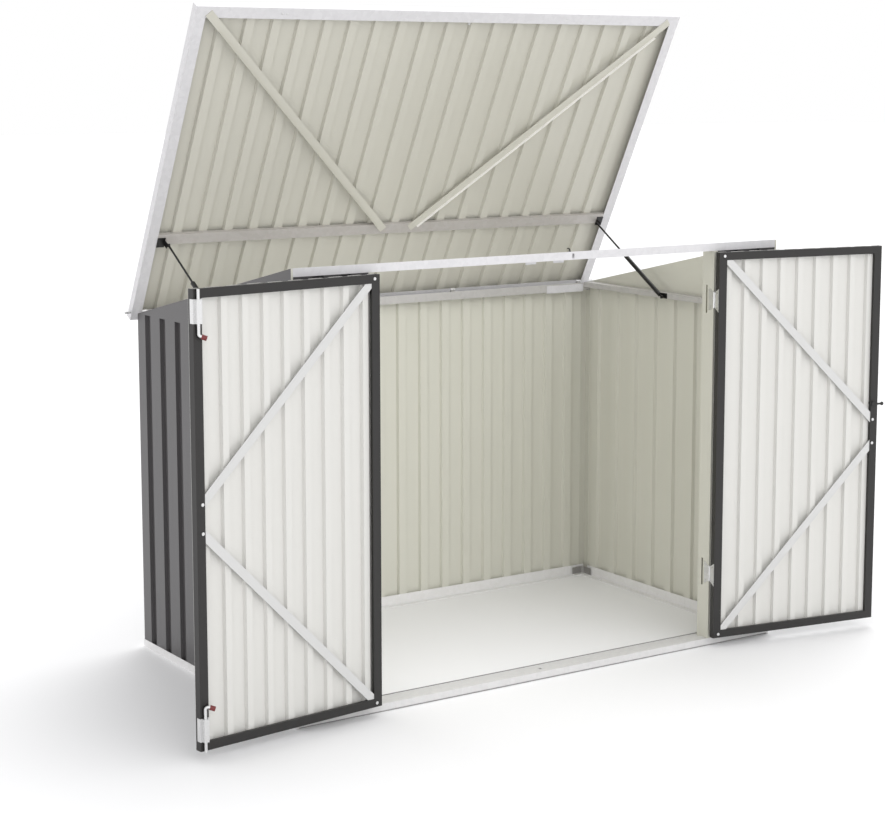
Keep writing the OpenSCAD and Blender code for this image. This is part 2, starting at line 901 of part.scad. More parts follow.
module door_panel(with_latch) {
    middle = (door_edge_x + free_x) / 2 - door_groove_shift;
    centres = groove_centres(door_grooves, door_pitch, middle);
    color(door_light)
        difference() {
            translate([0, door_face_y, 0])
                mirror([0, 1, 0])
                    upright_sheet(free_x, door_edge_x, centres, door_groove_floor, door_z, door_top);
            if (with_latch)
                spindle_hole();
        }
}

// Rivet points of the two braces on the door's inner face, each as [x, z]
function brace_ends() = [
    [[door_edge_x - brace_hinge_in, door_top - brace_end_in], [free_x + brace_free_in, brace_high_z]],
    [[door_edge_x - brace_hinge_in, door_z + brace_end_in], [free_x + brace_free_in, brace_low_z]]];

// Flat bars under the frame's flange, wider and thicker by a margin for the slots they lie in
module brace_bars(margin) {
    back_y = door_back_y - frame_t;
    half = door_brace_w / 2 + margin;
    past = 10;
    for (ends = brace_ends()) {
        run = ends[1] - ends[0];
        translate([ends[0].x, back_y, ends[0].y])
            rotate([0, -atan2(run.y, run.x), 0])
                block([-past, -door_brace_t - margin, -half], [norm(run) + past, 0, half]);
    }
}

module brace_space() {
    block([free_x + frame_t, door_face_y, door_z + frame_t],
        [door_edge_x - frame_t, door_back_y, door_top - frame_t]);
}

// Slots in the frame's turned-in edges where the braces pass
module brace_slots() {
    intersection() {
        brace_bars(brace_slot_gap);
        brace_space();
    }
}

module door_braces() {
    color(door_light)
        intersection() {
            brace_bars(0);
            brace_space();
        }
}

module door_rivets() {
    color(steel)
        for (ends = brace_ends())
            for (p = ends)
                translate([p.x, door_back_y, p.y])
                    rotate([-90, 0, 0])
                        cylinder(h = rivet_h, r = rivet_r);
}

module left_door_stiles() {
    swing(-1, left_open)
        door_stiles(false);
}

module left_door_rails() {
    swing(-1, left_open)
        door_rails();
}

module left_door_panel() {
    swing(-1, left_open)
        door_panel(false);
}

module left_door_braces() {
    swing(-1, left_open)
        door_braces();
}

module left_door_leaves() {
    swing(-1, left_open)
        at_hinges()
            door_hinge_leaf();
}

module left_door_rivets() {
    swing(-1, left_open)
        door_rivets();
}

module right_door_stiles() {
    swing(1, right_open)
        door_stiles(true);
}

module right_door_rails() {
    swing(1, right_open)
        door_rails();
}

module right_door_panel() {
    swing(1, right_open)
        door_panel(true);
}

module right_door_braces() {
    swing(1, right_open)
        door_braces();
}

module right_door_leaves() {
    swing(1, right_open)
        at_hinges()
            door_hinge_leaf();
}

module right_door_rivets() {
    swing(1, right_open)
        door_rivets();
}

// Shoot bolts on the left door

bolt_x = free_x + bolt_in;
bolt_y = door_back_y + bolt_off;

module bolt_guide(z) {
    color(steel)
        difference() {
            union() {
                block([free_x - frame_t, door_back_y - guide_edge, z],
                    [free_x, door_back_y + frame_t, z + guide_h]);
                block([free_x - frame_t, door_back_y, z],
                    [free_x + guide_plate_w, door_back_y + frame_t, z + guide_h]);
                block([bolt_x - guide_block_w / 2, door_back_y, z],
                    [bolt_x + guide_block_w / 2, bolt_y + bolt_r + 2, z + guide_h]);
            }
            translate([bolt_x, bolt_y, z - 1])
                cylinder(h = guide_h + 2, r = bolt_r + bore_gap);
        }
}

module bolt_guides() {
    swing(-1, left_open) {
        bolt_guide(guide_low_z);
        bolt_guide(guide_high_z);
    }
}

// A bend starts on the rod's axis, and its plane is turned away from the door
module bend_place(z) {
    translate([bolt_x, bolt_y, z])
        rotate([0, 0, bolt_turn])
            children();
}

// Start and direction of the straight arm
// way is 1 where the rod comes up to the bend, and -1 where it comes down
module arm_place(way) {
    translate([bend_r * (1 + way * sin(bolt_lean)), 0, way * bend_r * cos(bolt_lean)])
        rotate([0, 90 + bolt_lean, 0])
            children();
}

// The bend is a little thicker than the rod, and the straight lengths run a short way into it
module bolt(z_bend, z_end, way) {
    bend_swell = 0.05;
    lap = 0.5;
    z_lap = z_bend + way * lap;
    color(steel) {
        translate([bolt_x, bolt_y, min(z_lap, z_end)])
            cylinder(h = abs(z_end - z_lap), r = bolt_r);
        bend_place(z_bend) {
            translate([bend_r, 0, 0])
                rotate([90, 0, 0])
                    rotate([0, 0, way > 0 ? 90 - bolt_lean : 180])
                        rotate_extrude(angle = 90 + way * bolt_lean)
                            translate([bend_r, 0])
                                circle(r = bolt_r + bend_swell);
            arm_place(way)
                translate([0, 0, -lap])
                    cylinder(h = bolt_arm + lap, r = bolt_r);
        }
    }
}

module bolt_cap(z_bend, way) {
    color(cap_red)
        bend_place(z_bend)
            arm_place(way)
                difference() {
                    translate([0, 0, bolt_arm - cap_l + cap_end])
                        cylinder(h = cap_l, r = cap_r);
                    cylinder(h = bolt_arm, r = bolt_r);
                }
}

module top_bolt() {
    swing(-1, left_open)
        bolt(bolt_high_z, door_top, -1);
}

module top_bolt_cap() {
    swing(-1, left_open)
        bolt_cap(bolt_high_z, -1);
}

module bottom_bolt() {
    swing(-1, left_open)
        bolt(bolt_low_z, door_z, 1);
}

module bottom_bolt_cap() {
    swing(-1, left_open)
        bolt_cap(bolt_low_z, 1);
}

// Latch on the right door

module latch_cam() {
    cam_y = door_back_y + rosette_t;
    reach = latch_in + cam_past - cam_end_r;
    color(black)
        swing(1, right_open)
            translate([free_x + latch_in, 0, latch_z])
                rotate([-90, 0, 0]) {
                    translate([0, 0, door_face_y])
                        cylinder(h = door_t + rosette_t + cam_t, r = spindle_r);
                    translate([0, 0, door_back_y])
                        cylinder(h = rosette_t, r = rosette_r);
                    translate([0, 0, cam_y])
                        linear_extrude(cam_t) {
                            circle(r = rosette_r - 3);
                            translate([-reach, -cam_neck_h / 2])
                                square([reach, cam_neck_h]);
                            translate([-reach, 0])
                                circle(r = cam_end_r);
                        }
                }
}

module latch_handle() {
    color(black)
        swing(1, right_open)
            translate([free_x + latch_in, door_face_y, latch_z])
                rotate([90, 0, 0]) {
                    cylinder(h = handle_gap + handle_t, r = handle_w / 2);
                    translate([0, 0, handle_gap])
                        linear_extrude(handle_t)
                            lever_outline();
                }
}

// Lever that narrows towards its lower, round end
module lever_outline() {
    end_r = handle_w / 2 - 2;
    shoulder = handle_w / 2 - 0.5;
    tip = end_r - 0.5;
    circle(d = handle_w + 2);
    translate([0, -handle_l])
        circle(r = end_r);
    polygon([[-shoulder, 0], [shoulder, 0], [tip, -handle_l], [-tip, -handle_l]]);
}

// Lid, described with the hinge axis at the origin, the front towards -y and its underside below the axis

module lid_place() {
    translate([0, rod_y, rod_z])
        rotate([-lid_open, 0, 0])
            children();
}

lid_low = -rod_over;
lid_top = lid_h - rod_over;
lid_front = -lid_front_l;
lid_rear = lid_rear_l;
lid_web_x = lid_half_w - frame_t;
lid_flange_x = lid_half_w - lid_side_flange;
sheet_top = lid_top - frame_t;
sheet_low = sheet_top - rib_in;
holder_inner_x = 3.5 * back_pitch;
holder_outer_x = lid_flange_x - (holder_w + holder_gap) / 2;

module lid_rail_front() {
    flange_y = lid_front + lid_end_flange;
    color(frame_light)
        lid_place() {
            block([-lid_web_x, lid_front, lid_low], [lid_web_x, lid_front + frame_t, lid_top]);
            block([-lid_flange_x, lid_front, lid_low], [lid_flange_x, flange_y, lid_low + frame_t]);
            block([-lid_web_x, lid_front, sheet_top], [lid_web_x, lid_front + lid_top_flange, lid_top]);
        }
}

module lid_rail_rear() {
    flange_y = lid_rear - lid_end_flange;
    notch_half = holder_w / 2 + holder_gap;
    color(frame_light)
        lid_place()
            difference() {
                union() {
                    block([-lid_web_x, lid_rear - frame_t, lid_low], [lid_web_x, lid_rear, lid_top]);
                    block([-lid_flange_x, flange_y, lid_low], [lid_flange_x, lid_rear, lid_low + frame_t]);
                    block([-lid_web_x, lid_rear - lid_top_flange, sheet_top], [lid_web_x, lid_rear, lid_top]);
                }
                for (x = [-holder_outer_x, -holder_inner_x, holder_inner_x, holder_outer_x])
                    block([x - notch_half, flange_y - 1, lid_low - 1],
                        [x + notch_half, holder_r + holder_gap, lid_low + frame_t + 1]);
            }
}

module lid_rail_side(side) {
    end_y0 = lid_front + frame_t;
    end_y1 = lid_rear - frame_t;
    color(frame_light)
        on_side(side)
            lid_place()
                difference() {
                    union() {
                        block([lid_web_x, lid_front, lid_low], [lid_half_w, lid_rear, lid_top]);
                        block([lid_flange_x, end_y0, lid_low], [lid_half_w, end_y1, lid_low + frame_t]);
                        block([lid_half_w - lid_top_flange, lid_front + lid_top_flange, sheet_top],
                            [lid_half_w, lid_rear - lid_top_flange, lid_top]);
                    }
                    translate([lid_flange_x - 1, 0, 0])
                        rotate([0, 90, 0])
                            cylinder(h = lid_side_flange + 2, r = rod_r + bore_gap);
                }
}

module lid_rail_left() {
    lid_rail_side(-1);
}

module lid_rail_right() {
    lid_rail_side(1);
}

module lid_sheet() {
    centres = groove_centres(back_grooves, back_pitch, 0);
    color(inner_light)
        lid_place()
            translate([0, lid_rear - frame_t, sheet_top])
                rotate([90, 0, 0])
                    linear_extrude(lid_front_l + lid_rear_l - 2 * frame_t)
                        polygon(sheet_outline(-lid_web_x, lid_web_x, centres, groove_floor));
}

module lid_cross_rail() {
    y0 = -cross_rear - cross_w;
    y1 = -cross_rear;
    low = lid_low + frame_t;
    color(frame_light)
        lid_place() {
            block([-lid_flange_x, y0, lid_low], [lid_flange_x, y1, low]);
            for (y = [y0, y1 - frame_t])
                block([-lid_web_x, y, low], [lid_web_x, y + frame_t, sheet_low]);
        }
}

module lid_braces() {
    from = [lid_half_w - brace_side_in, lid_front + brace_front_in];
    to = [brace_x_in, -cross_rear - cross_w / 2];
    run = to - from;
    color(frame_light)
        for (side = [-1, 1])
            on_side(side)
                lid_place()
                    translate([from.x, from.y, lid_low - lid_brace_t])
                        rotate([0, 0, atan2(run.y, run.x)])
                            block([0, -lid_brace_w / 2, 0], [norm(run), lid_brace_w / 2, lid_brace_t]);
}

// Black brackets that carry the upper ends of the struts
module lid_strut_brackets() {
    plate_x = strut_x + eye_w / 2 + strut_side_gap;
    plate_t = 3;
    half_l = 18;
    color(black)
        for (side = [-1, 1])
            on_side(side)
                lid_place() {
                    block([plate_x, -strut_along - half_l, lid_low - plate_t],
                        [lid_flange_x, -strut_along + half_l, lid_low]);
                    block([plate_x, -strut_along - half_l / 2, -strut_drop - eye_r],
                        [plate_x + plate_t, -strut_along + half_l / 2, lid_low]);
                }
}

module lid_hinge_rod() {
    color(steel)
        translate([-lid_half_w - rod_past, rod_y, rod_z])
            rotate([0, 90, 0])
                cylinder(h = 2 * (lid_half_w + rod_past), r = rod_r);
}

// Angle on the front flange, just in front of the hook's plane
module lid_keeper() {
    keeper_w = 8;
    keeper_h = 10;
    on_flange = 16;
    past_flange = 8;
    keeper_x = lock_x - 1.5 * keeper_w - hook_side;
    flange_end = lid_front + lid_end_flange;
    keeper_low = lid_low + frame_t;
    color(steel)
        lid_place() {
            block([keeper_x, flange_end - on_flange, keeper_low],
                [keeper_x + keeper_w, flange_end + past_flange, keeper_low + frame_t]);
            block([keeper_x, flange_end + past_flange, keeper_low],
                [keeper_x + keeper_w, flange_end + past_flange + frame_t, lid_low + keeper_h]);
        }
}

// Holders of the lid's hinge rod on the back wall

module rod_holder(x) {
    x0 = x - holder_w / 2;
    plate_side = holder_w / 2;
    plate_top = roof_z(half_d + holder_t) - holder_under_lid;
    arm_h = 10;
    arm_back = [2, -6];
    arm_front = [-4, 2];
    axis = [rod_y, rod_z];
    color(steel)
        difference() {
            union() {
                block([x0 - plate_side, half_d, plate_top - holder_plate_h],
                    [x0 + holder_w + plate_side, half_d + holder_t, plate_top]);
                along_x(x0, holder_w) {
                    translate(axis)
                        circle(r = holder_r);
                    polygon([[half_d, plate_top - arm_h], [half_d + holder_t, plate_top - arm_h],
                        axis + arm_back, axis + arm_front, [half_d, plate_top]]);
                }
            }
            along_x(x0 - 1, holder_w + 2)
                translate(axis)
                    circle(r = rod_r + bore_gap);
        }
}

// Length along x with a section drawn in y and z
module along_x(x0, width) {
    translate([x0, 0, 0])
        rotate([90, 0, 90])
            linear_extrude(width)
                children();
}

module lid_rod_holders() {
    for (x = [-holder_outer_x, -holder_inner_x, holder_inner_x, holder_outer_x])
        rod_holder(x);
}

// Gas struts

function lid_point(along, drop) = [rod_y - along * cos(lid_open) - drop * sin(lid_open),
    rod_z + along * sin(lid_open) - drop * cos(lid_open)];
strut_top = lid_point(strut_along, strut_drop);
strut_run = strut_top - [strut_y, strut_z];
strut_angle = atan2(strut_run.y, strut_run.x);
strut_l = norm(strut_run);

// Strut direction is local +x from the lower pivot
module strut_place(side) {
    on_side(side)
        translate([strut_x, strut_y, strut_z])
            rotate([strut_angle, 0, 0])
                rotate([0, 0, 90])
                    children();
}

module cross_pin(h, r) {
    rotate([90, 0, 0])
        translate([0, 0, -h / 2])
            cylinder(h = h, r = r);
}

module strut_cylinder(side) {
    neck_l = 14;
    color(black)
        strut_place(side)
            difference() {
                union() {
                    cross_pin(eye_w, eye_r);
                    rotate([0, 90, 0])
                        cylinder(h = neck_l + 1, r = eye_w / 2 - 0.5);
                    translate([neck_l, 0, 0])
                        rotate([0, 90, 0])
                            cylinder(h = cylinder_l - neck_l, r = cylinder_r);
                }
                cross_pin(eye_w + 2, stud_r + bore_gap);
                translate([neck_l + 6, 0, 0])
                    rotate([0, 90, 0])
                        cylinder(h = cylinder_l, r = strut_rod_r + 2 * bore_gap);
            }
}

module strut_rod(side) {
    inside = 24;
    color(black)
        strut_place(side)
            difference() {
                union() {
                    translate([cylinder_l - inside, 0, 0])
                        rotate([0, 90, 0])
                            cylinder(h = strut_l - cylinder_l + inside, r = strut_rod_r);
                    translate([strut_l, 0, 0])
                        cross_pin(eye_w, eye_r);
                }
                translate([strut_l, 0, 0])
                    cross_pin(eye_w + 2, stud_r);
            }
}

module strut_cylinder_left() {
    strut_cylinder(-1);
}

module strut_cylinder_right() {
    strut_cylinder(1);
}

module strut_rod_left() {
    strut_rod(-1);
}

module strut_rod_right() {
    strut_rod(1);
}

module strut_lower_studs() {
    plate_t = 2;
    half_l = 16;
    reach = eye_w / 2 + strut_side_gap;
    color(black)
        for (side = [-1, 1])
            on_side(side) {
                translate([strut_x - reach, strut_y, strut_z])
                    rotate([0, 90, 0])
                        cylinder(h = foot_x - strut_x + reach, r = stud_r);
                block([foot_x - plate_t, strut_y - half_l, side_rail_z - side_rail_h],
                    [foot_x, strut_y + half_l, side_rail_z]);
            }
}

// Lid lock

module hook_stud() {
    head_h = 1.5;
    head_z = hook_set_back + hook_t + hook_play;
    color(steel)
        translate([hook_x, bar_back, lock_z])
            rotate([-90, 0, 0]) {
                cylinder(h = head_z, r = stud_r);
                cylinder(h = hook_set_back - hook_play, r = hook_hub_r - 2);
                translate([0, 0, head_z])
                    cylinder(h = head_h, r = stud_r + 2);
            }
}

module lid_hook() {
    color(black)
        translate([hook_x, bar_back + hook_set_back, lock_z])
            rotate([90, 0, 0])
                mirror([0, 0, 1])
                    linear_extrude(hook_t)
                        difference() {
                            union() {
                                circle(r = hook_hub_r);
                                hook_neck();
                                translate([-hook_side, hook_rise])
                                    circle(r = hook_head_r);
                            }
                            circle(r = stud_r + bore_gap);
                            translate([-hook_side, hook_rise]) {
                                circle(r = hook_mouth_r);
                                translate([-2 * hook_head_r, -hook_mouth_r])
                                    square([2 * hook_head_r, 2 * hook_mouth_r]);
                            }
                        }
}

module hook_neck() {
    polygon([[-hook_hub_r, 0], [hook_hub_r, 0], [-hook_side + hook_head_r, hook_rise],
        [-hook_side, hook_rise]]);
}

base_threshold_front();
base_rail_left();
base_rail_right();
base_rail_back();
base_corner_plates();
wall_left();
wall_right();
wall_back();
gable_left();
gable_right();
front_panel_left();
front_panel_right();
corner_angles();
top_rail_left();
top_rail_right();
top_rail_back();
top_bar_front();
front_post_left();
front_post_right();
post_head_plates();
door_stops();
post_hinge_leaves();
door_hinge_pins();
lid_rod_holders();
strut_lower_studs();
hook_stud();
lid_hook();
left_door_stiles();
left_door_rails();
left_door_panel();
left_door_braces();
left_door_leaves();
left_door_rivets();
bolt_guides();
top_bolt();
top_bolt_cap();
bottom_bolt();
bottom_bolt_cap();
right_door_stiles();
right_door_rails();
right_door_panel();
right_door_braces();
right_door_leaves();
right_door_rivets();
latch_cam();
latch_handle();
lid_rail_front();
lid_rail_rear();
lid_rail_left();
lid_rail_right();
lid_sheet();
lid_cross_rail();
lid_braces();
lid_strut_brackets();
lid_hinge_rod();
lid_keeper();
strut_cylinder_left();
strut_cylinder_right();
strut_rod_left();
strut_rod_right();
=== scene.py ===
# %% [markdown]
# # A bike shed of ribbed sheet steel
# The shed stands open: two doors swung wide and a lid on gas struts. Its shapes come from the
# construction model, one object for each folded section, sheet or fitting. This lesson gives them
# finishes, adds the small fittings, and sets up a pale studio. The first cell loads the shapes.

# %% Load the construction model
import math

import bpy
from mathutils import Matrix, Vector


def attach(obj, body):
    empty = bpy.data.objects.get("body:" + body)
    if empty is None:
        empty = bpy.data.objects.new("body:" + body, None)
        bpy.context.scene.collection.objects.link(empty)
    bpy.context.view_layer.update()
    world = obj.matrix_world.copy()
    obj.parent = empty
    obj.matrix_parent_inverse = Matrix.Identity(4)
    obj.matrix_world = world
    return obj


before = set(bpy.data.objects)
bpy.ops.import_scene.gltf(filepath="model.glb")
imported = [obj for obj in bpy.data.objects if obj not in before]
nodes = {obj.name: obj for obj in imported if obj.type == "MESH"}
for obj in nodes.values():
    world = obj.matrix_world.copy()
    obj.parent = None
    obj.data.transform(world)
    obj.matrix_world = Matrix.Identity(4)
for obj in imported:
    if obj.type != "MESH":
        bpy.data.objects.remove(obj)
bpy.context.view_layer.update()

# %% [markdown]
# ## Clear the selection
# Operators act on everything that is selected, and the loader leaves its objects selected. So
# everything is deselected before the first new piece is made.

# %% Deselect everything
bpy.ops.object.select_all(action="DESELECT")
print("selected:", len(bpy.context.selected_objects))

# %% [markdown]
# ## Colours
# Colours are written as sRGB hex values, as a paint chart gives them. The shaders calculate with
# linear light, so one function turns the one into the other.

# %% Colour helper
def linear(hex_colour):
    channels = [int(hex_colour[i:i + 2], 16) / 255 for i in (1, 3, 5)]
    return tuple(c / 12.92 if c <= 0.04045 else ((c + 0.055) / 1.055) ** 2.4 for c in channels) + (1.0,)

print("anthracite is", [round(c, 3) for c in linear("#4a4849")])

# %% [markdown]
# ## Adding nodes
# A material is a small network. One helper adds a node with its settings, and joins each input to
# a value or to another node's output, so that a network reads from top to bottom.

# %% Node helper
def add_node(tree, kind, settings=None, inputs=None):
    made = tree.nodes.new(kind)
    for name, value in (settings or {}).items():
        setattr(made, name, value)
    for key, value in (inputs or {}).items():
        if isinstance(value, bpy.types.NodeSocket):
            tree.links.new(value, made.inputs[key])
        else:
            made.inputs[key].default_value = value
    return made

def new_material(name):
    material = bpy.data.materials.new(name)
    material.use_nodes = True
    shader = material.node_tree.nodes["Principled BSDF"]
    return material, material.node_tree, shader

MM = 0.001
print("one millimetre is", MM, "units")

# %% [markdown]
# ## Coil-coated steel sheet
# The walls, the lid and the doors are thin galvanised sheet that was painted on the coil, and then
# rolled into ribs. The outside is anthracite, the inside a pale stone colour. One object has both
# faces, so the material asks which way a face points, in the object's own space, and picks the
# side's colour. Paint from a coil has a soft sheen, a fine orange-peel texture, and shows slow
# waves where the thin sheet isn't quite flat. The peel is about 1 mm on the real sheet and is
# drawn 5 mm coarse here, since finer grain wouldn't show. Each colour is a pair, the dark and the
# light end of a very slow cloud.

# %% Two-sided coil coat
CLOUD_MM, CLOUD_ROUGH = 420, 0.02
WAVE_MM, WAVE_DEPTH_MM = 260, 2.5
PEEL_MM, PEEL_DEPTH_MM = 5, 0.05
NOISE_LOW, NOISE_HIGH = 0.3, 0.7
OUTSIDE_FROM = 0.02

def coil_coat(name, outward, outside, inside, roughness):
    material, tree, shader = new_material(name)
    place = add_node(tree, "ShaderNodeTexCoord")
    facing = add_node(tree, "ShaderNodeVectorMath", {"operation": "DOT_PRODUCT"},
                      {0: place.outputs["Normal"], 1: outward})
    is_outside = add_node(tree, "ShaderNodeMath", {"operation": "GREATER_THAN"},
                          {0: facing.outputs["Value"], 1: OUTSIDE_FROM})
    cloud = add_node(tree, "ShaderNodeTexNoise", None,
                     {"Vector": place.outputs["Object"], "Scale": 1 / (CLOUD_MM * MM), "Detail": 1.0})
    tone_out = add_node(tree, "ShaderNodeMix", {"data_type": "RGBA"},
                        {"Factor": cloud.outputs["Fac"], "A": linear(outside[0]), "B": linear(outside[1])})
    tone_in = add_node(tree, "ShaderNodeMix", {"data_type": "RGBA"},
                       {"Factor": cloud.outputs["Fac"], "A": linear(inside[0]), "B": linear(inside[1])})
    colour = add_node(tree, "ShaderNodeMix", {"data_type": "RGBA"},
                      {"Factor": is_outside.outputs[0], "A": tone_in.outputs["Result"],
                       "B": tone_out.outputs["Result"]})
    tree.links.new(colour.outputs["Result"], shader.inputs["Base Color"])
    rough = add_node(tree, "ShaderNodeMapRange", None,
                     {"Value": cloud.outputs["Fac"], "From Min": NOISE_LOW, "From Max": NOISE_HIGH,
                      "To Min": roughness - CLOUD_ROUGH, "To Max": roughness + CLOUD_ROUGH})
    tree.links.new(rough.outputs["Result"], shader.inputs["Roughness"])
    wave = add_node(tree, "ShaderNodeTexNoise", None,
                    {"Vector": place.outputs["Object"], "Scale": 1 / (WAVE_MM * MM), "Detail": 1.0})
    peel = add_node(tree, "ShaderNodeTexNoise", None,
                    {"Vector": place.outputs["Object"], "Scale": 1 / (PEEL_MM * MM), "Detail": 2.0})
    slow = add_node(tree, "ShaderNodeBump", None,
                    {"Height": wave.outputs["Fac"], "Strength": 0.6, "Distance": WAVE_DEPTH_MM * MM})
    fine = add_node(tree, "ShaderNodeBump", None,
                    {"Height": peel.outputs["Fac"], "Strength": 0.2, "Distance": PEEL_DEPTH_MM * MM,
                     "Normal": slow.outputs["Normal"]})
    tree.links.new(fine.outputs["Normal"], shader.inputs["Normal"])
    return material

ANTHRACITE = ("#4a4849", "#4e4c4d")
STONE = ("#cfcec2", "#d3d2c7")
DOOR_STONE = ("#d4d3cf", "#d7d6d2")
BRACE_STONE = ("#cacac9", "#cececd")
POST_STONE = ("#c4c3b7", "#c8c7bc")
LID_STONE = ("#c2c0b5", "#c7c5ba")
SHEET_ROUGH, STRIP_ROUGH = 0.3, 0.38
print("coat for sheet", SHEET_ROUGH, "rough, for strip", STRIP_ROUGH)

# %% [markdown]
# ## Which way is outside
# Each sheet gets its own copy of the finish with its own outward direction. The lid and the doors
# are stored open, so their outward directions are turned by the angles at which they stand.

# %% Coat the sheets
LEFT_OPEN, RIGHT_OPEN, LID_OPEN = (math.radians(a) for a in (173.1, 170.9, 62.1))
outward = {
    "wall_left": (-1, 0, 0), "gable_left": (-1, 0, 0),
    "wall_right": (1, 0, 0), "gable_right": (1, 0, 0),
    "wall_back": (0, 1, 0),
    "front_panel_left": (0, -1, 0), "front_panel_right": (0, -1, 0),
    "left_door_panel": (-math.sin(LEFT_OPEN), -math.cos(LEFT_OPEN), 0),
    "right_door_panel": (math.sin(RIGHT_OPEN), -math.cos(RIGHT_OPEN), 0),
    "lid_sheet": (0, math.sin(LID_OPEN), math.cos(LID_OPEN)),
}

def give(node, material):
    slots = nodes[node].material_slots
    if not slots:
        nodes[node].data.materials.append(material)
    for one in nodes[node].material_slots:
        one.material = material

for sheet, way in outward.items():
    inside = DOOR_STONE if "door" in sheet else LID_STONE if "lid" in sheet else STONE
    give(sheet, coil_coat("coil_coat_" + sheet, way, ANTHRACITE, inside, SHEET_ROUGH))
print("coated", len(outward), "sheets")

# %% [markdown]
# ## Stone-coloured sections
# The posts, the corner angles and the braces are folded from strip that was coated on both faces,
# in stone colours close to those of the sheets. The same finish does for them, with one colour on
# either side.

# %% Coat the posts, corners and braces
def strip_coat(name, stone):
    return coil_coat("coil_coat_" + name, (0, 0, 1), stone, stone, STRIP_ROUGH)

stone_strip = strip_coat("stone_strip", POST_STONE)
brace_strip = strip_coat("brace_strip", BRACE_STONE)
lid_strip = strip_coat("lid_strip", LID_STONE)
give("lid_braces", lid_strip)
for name in ("corner_angles", "front_post_left", "front_post_right"):
    give(name, stone_strip)
for name in ("left_door_braces", "right_door_braces"):
    give(name, brace_strip)
print("strips coated")

# %% [markdown]
# ## Galvanised sections
# The rails of the base, the body and the lid are folded from galvanised strip. Hot zinc freezes in
# flat crystals, the spangle, each with a slightly different sheen. They are 8 to 15 mm across, and a
# Voronoi pattern gives each cell its own shade. The crystals are faint, so the shades lie close.
# The sections come from different coils, so their greys differ a little.

# %% Galvanised finish
SPANGLE_MM, SPANGLE_ROUGH = 14, 0.03
DENT_MM, DENT_DEPTH_MM = 90, 0.6

def galvanised(name, dark, light, metallic, rough=0.42):
    material, tree, shader = new_material(name)
    place = add_node(tree, "ShaderNodeTexCoord")
    cells = add_node(tree, "ShaderNodeTexVoronoi", {"feature": "F1"},
                     {"Vector": place.outputs["Object"], "Scale": 1 / (SPANGLE_MM * MM)})
    shade = add_node(tree, "ShaderNodeSeparateColor", None, {"Color": cells.outputs["Color"]})
    colour = add_node(tree, "ShaderNodeMix", {"data_type": "RGBA"},
                      {"Factor": shade.outputs["Red"], "A": linear(dark), "B": linear(light)})
    tree.links.new(colour.outputs["Result"], shader.inputs["Base Color"])
    sheen = add_node(tree, "ShaderNodeMapRange", None,
                     {"Value": shade.outputs["Green"], "To Min": rough - SPANGLE_ROUGH,
                      "To Max": rough + SPANGLE_ROUGH})
    tree.links.new(sheen.outputs["Result"], shader.inputs["Roughness"])
    shader.inputs["Metallic"].default_value = metallic
    dents = add_node(tree, "ShaderNodeTexNoise", None,
                     {"Vector": place.outputs["Object"], "Scale": 1 / (DENT_MM * MM), "Detail": 2.0})
    bump = add_node(tree, "ShaderNodeBump", None,
                    {"Height": dents.outputs["Fac"], "Strength": 0.4, "Distance": DENT_DEPTH_MM * MM})
    tree.links.new(bump.outputs["Normal"], shader.inputs["Normal"])
    return material

threshold_zinc = galvanised("galvanised_threshold", "#d4d3d3", "#dad9d9", metallic=0.05)
# The dark grey below is painted shade, for the two shadow lines along the threshold's edges.
threshold_shade_paint = galvanised("painted_shade_threshold", "#8f8e8d", "#969594", metallic=0.15)
base_zinc = galvanised("galvanised_base_section", "#e6e5e4", "#eae9e9", metallic=0.05)
rail_zinc = galvanised("galvanised_rail_section", "#b9b7b4", "#bfbdba", metallic=0.15)
cross_zinc = galvanised("galvanised_cross_section", "#b4b0ab", "#bab6b2", metallic=0.15)
lid_zinc = galvanised("galvanised_lid_section", "#d0cfd1", "#d6d5d7", metallic=0.1)
give("base_threshold_front", threshold_zinc)
for name in ("base_rail_left", "base_rail_right", "base_rail_back", "base_corner_plates"):
    give(name, base_zinc)
for name in ("top_rail_left", "top_rail_right", "top_rail_back"):
    give(name, rail_zinc)
give("lid_cross_rail", cross_zinc)
for name in ("top_bar_front", "door_stops", "lid_rail_front", "lid_rail_rear", "lid_rail_left",
             "lid_rail_right"):
    give(name, lid_zinc)
print("galvanised finishes set")

# %% [markdown]
# ## Powder-coated door frames
# The door frames are folded steel with a baked polyester powder. It flows out to a satin skin with
# a slight orange peel, and it is darker than the coil coat of the sheets.

# %% Powder coat
POWDER_CLOUD_MM, POWDER_PEEL_MM = 60, 0.08
POWDER_ROUGH = 0.42

def powder_coat(name, dark, light):
    material, tree, shader = new_material(name)
    place = add_node(tree, "ShaderNodeTexCoord")
    cloud = add_node(tree, "ShaderNodeTexNoise", None,
                     {"Vector": place.outputs["Object"], "Scale": 1 / (POWDER_CLOUD_MM * MM), "Detail": 5.0})
    colour = add_node(tree, "ShaderNodeMix", {"data_type": "RGBA"},
                      {"Factor": cloud.outputs["Fac"], "A": linear(dark), "B": linear(light)})
    tree.links.new(colour.outputs["Result"], shader.inputs["Base Color"])
    peel = add_node(tree, "ShaderNodeTexNoise", None,
                    {"Vector": place.outputs["Object"], "Scale": 1 / (PEEL_MM * MM), "Detail": 2.0})
    bump = add_node(tree, "ShaderNodeBump", None,
                    {"Height": peel.outputs["Fac"], "Strength": 0.3, "Distance": POWDER_PEEL_MM * MM})
    tree.links.new(bump.outputs["Normal"], shader.inputs["Normal"])
    shader.inputs["Roughness"].default_value = POWDER_ROUGH
    return material

frame_powder = powder_coat("powder_coat_anthracite", "#1c1a19", "#211f1e")
for side in ("left", "right"):
    for part in ("stiles", "rails"):
        give(f"{side}_door_{part}", frame_powder)
print("door frames coated")

# %% [markdown]
# ## Zinc-plated fittings
# Hinges, bolts, studs and rivets are small steel parts with a thin bright zinc plating. They are
# metal all through, so the shader is fully metallic, with a fine roughness pattern left by the
# plating drum.

